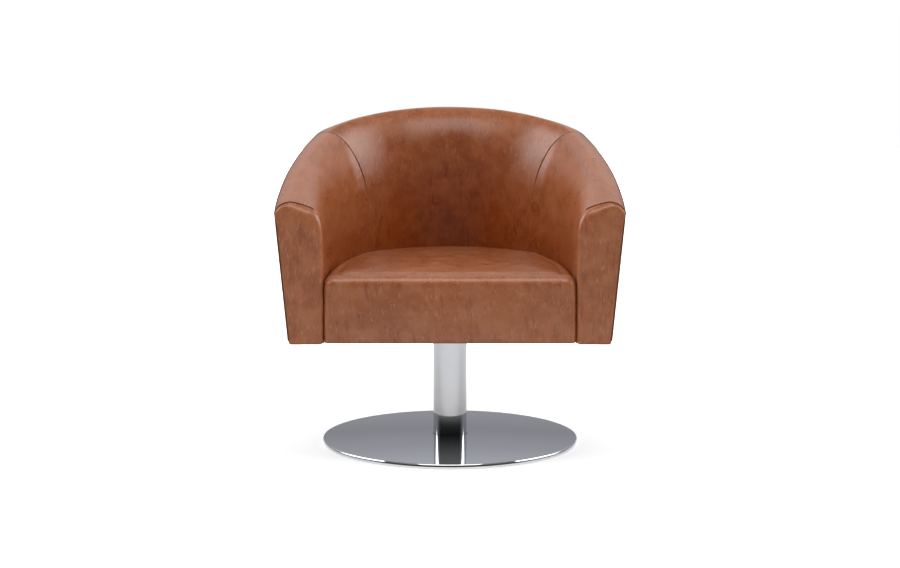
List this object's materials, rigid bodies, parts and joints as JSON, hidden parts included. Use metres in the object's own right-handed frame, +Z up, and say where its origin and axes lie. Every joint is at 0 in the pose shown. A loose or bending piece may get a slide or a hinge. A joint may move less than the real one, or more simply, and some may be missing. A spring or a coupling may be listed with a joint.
{
  "type": "upholstered swivel tub chair",
  "caption": "Low-backed tub armchair in tan leather with rolled arms that slope down from the back, a tight seat, and a polished column on a round pedestal base that lets it swivel",
  "frame": {"origin": "on the floor, on the swivel axis under the middle of the chair's overall width and depth", "axes": "+Z up, along the column and the swivel axis; -Y is the way the seat faces at rest; +X to the sitter's left"},
  "size_m": [0.744, 0.724, 0.7995],
  "materials": {
    "leather": "satin",
    "leather_edge": "satin",
    "foam": "matte",
    "timber": "matte",
    "plywood": "matte",
    "fibreboard": "matte",
    "webbing": "matte",
    "lining": "matte",
    "polished_steel": "polished",
    "zinc_steel": "satin",
    "black_steel": "satin",
    "cast_iron": "matte",
    "nylon": "matte",
    "rubber": "matte"
  },
  "bodies": {
    "base": {"floor_ring": "rubber", "base_weight": "cast_iron", "base_cover": "polished_steel", "column_foot": "zinc_steel", "base_screw_1": "black_steel", "base_screw_2": "black_steel", "base_screw_3": "black_steel", "base_screw_4": "black_steel", "column_tube": "polished_steel", "bearing_housing": "zinc_steel", "lower_bush": "nylon", "upper_bush": "nylon"},
    "seat": {"spindle": "zinc_steel", "retaining_ring": "black_steel", "swivel_plate": "black_steel", "plate_bolt_1": "zinc_steel", "plate_bolt_2": "zinc_steel", "plate_bolt_3": "zinc_steel", "plate_bolt_4": "zinc_steel", "tee_nut_1": "zinc_steel", "tee_nut_2": "zinc_steel", "tee_nut_3": "zinc_steel", "tee_nut_4": "zinc_steel", "seat_deck": "plywood", "seat_front_rail": "timber", "seat_side_rail_right": "timber", "seat_side_rail_left": "timber", "seat_back_rail": "timber", "seat_diaphragm": "webbing", "seat_foam": "foam", "seat_leather": "leather", "bottom_rail": "timber", "top_rail": "plywood", "front_post_right": "timber", "rear_post_right": "timber", "back_post": "timber", "rear_post_left": "timber", "front_post_left": "timber", "outer_board": "fibreboard", "arm_foam_right": "foam", "arm_foam_left": "foam", "back_foam": "foam", "inside_arm_leather_right": "leather", "inside_arm_leather_left": "leather", "inside_back_leather": "leather", "outside_arm_leather_right": "leather", "outside_arm_leather_left": "leather", "outside_back_leather": "leather", "facing_board_right": "plywood", "facing_board_left": "plywood", "facing_leather_right": "leather", "facing_leather_left": "leather", "rim_welt": "leather_edge", "facing_welt_right": "leather_edge", "facing_welt_left": "leather_edge", "dust_cover": "lining", "frame_bolt_front_right": "zinc_steel", "frame_bolt_rear_right": "zinc_steel", "frame_bolt_rear_left": "zinc_steel", "frame_bolt_front_left": "zinc_steel"}
  },
  "joints": [
    {"name": "swivel", "type": "hinge", "parent": "base", "child": "seat", "pos_m": [0, 0, 0.28], "axis": [0, 0, 1], "continuous": true}
  ]
}
